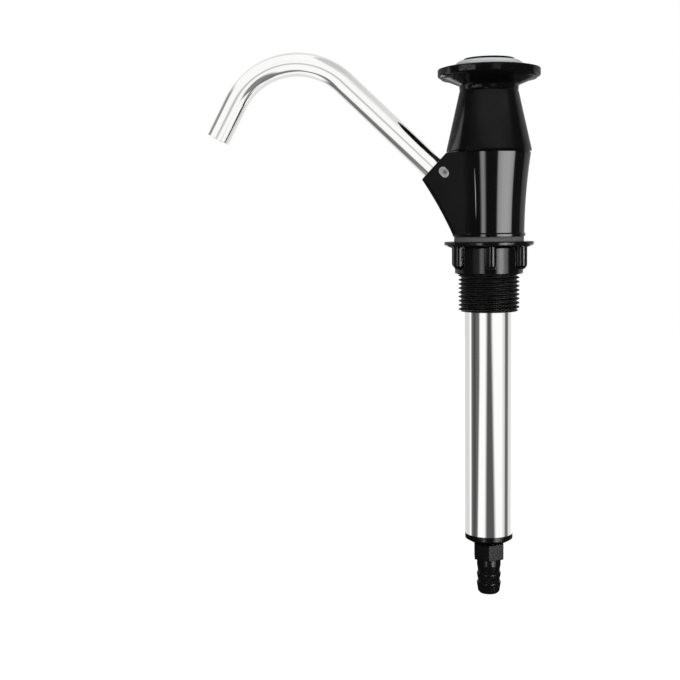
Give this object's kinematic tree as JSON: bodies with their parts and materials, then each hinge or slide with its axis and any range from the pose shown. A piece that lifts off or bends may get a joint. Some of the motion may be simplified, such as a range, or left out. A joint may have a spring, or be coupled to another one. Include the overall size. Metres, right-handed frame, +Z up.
{
  "type": "hand pump tap",
  "caption": "Deck-mounted hand pump tap: lift knob on a cone, arched spout, threaded tail with back nut, long barrel with a piston and valves, and a barbed hose tail.",
  "frame": {"origin": "on the pump's axis, in the plane of the gasket's underside, where the deck's top face goes", "axes": "+Z up along the pump's axis, from the deck towards the knob; the spout points along -X; the lock pin's head faces -Y"},
  "size_m": [0.1827, 0.0554, 0.3012],
  "materials": {
    "satin_black": "satin moulded plastic",
    "gloss_black": "glossy moulded plastic",
    "thread_black": "moulded plastic, semi-matte",
    "tail_black": "moulded plastic with a light sheen",
    "inner_black": "plain moulded plastic",
    "pale_trim": "pale grey, satin to gloss",
    "grey_plastic": "light grey, matte",
    "polished_steel": "polished stainless steel",
    "rod_steel": "ground stainless steel",
    "fastener_steel": "stainless steel",
    "gasket_rubber": "mid-grey, matte",
    "seal_rubber": "black, matte",
    "bearing_plastic": "natural white, matte",
    "valve_plastic": "white, smooth"
  },
  "bodies": {
    "pump_body": {"housing": "gloss_black", "guide_cap": "satin_black", "rod_guide_bush": "bearing_plastic", "rod_wiper": "seal_rubber", "rod_seal": "seal_rubber", "seal_retainer": "inner_black", "cap_o_ring": "seal_rubber", "spout_tube": "polished_steel", "spout_o_rings": "seal_rubber", "spout_pin": "grey_plastic", "threaded_tail": "thread_black", "barrel": "polished_steel", "barrel_washer": "seal_rubber", "hose_tail": "tail_black", "foot_o_ring": "seal_rubber", "foot_valve_cage": "bearing_plastic"},
    "plunger": {"knob": "satin_black", "knob_ring": "pale_trim", "knob_cap": "gloss_black", "knob_screw": "fastener_steel", "piston_rod": "rod_steel", "piston_body": "bearing_plastic", "piston_seal": "seal_rubber", "valve_spacer": "fastener_steel", "piston_nut": "fastener_steel"},
    "piston_valve": {"piston_valve_disc": "seal_rubber"},
    "foot_valve": {"foot_valve_ball": "valve_plastic"},
    "gasket": {"deck_gasket": "gasket_rubber"},
    "nut": {"back_nut": "gloss_black"}
  },
  "joints": [
    {"name": "pump_stroke", "type": "slide", "parent": "pump_body", "child": "plunger", "axis": [0, 0, 1], "range_m": [0, 0.1]},
    {"name": "piston_valve_lift", "type": "slide", "parent": "plunger", "child": "piston_valve", "axis": [0, 0, 1], "range_m": [0, 0.0016]},
    {"name": "foot_valve_lift", "type": "slide", "parent": "pump_body", "child": "foot_valve", "axis": [0, 0, 1], "range_m": [0, 0.0029]},
    {"name": "nut_travel", "type": "slide", "parent": "pump_body", "child": "gasket", "axis": [0, 0, -1], "range_m": [0, 0.0185]},
    {"name": "nut_turn", "type": "hinge", "parent": "gasket", "child": "nut", "pos_m": [0, 0, 0], "axis": [0, 0, -1], "range_deg": [0, 2880]}
  ],
  "couplings": [
    {"joint": "nut_travel", "follows": "nut_turn", "m_per_rad": 0.00036749}
  ]
}
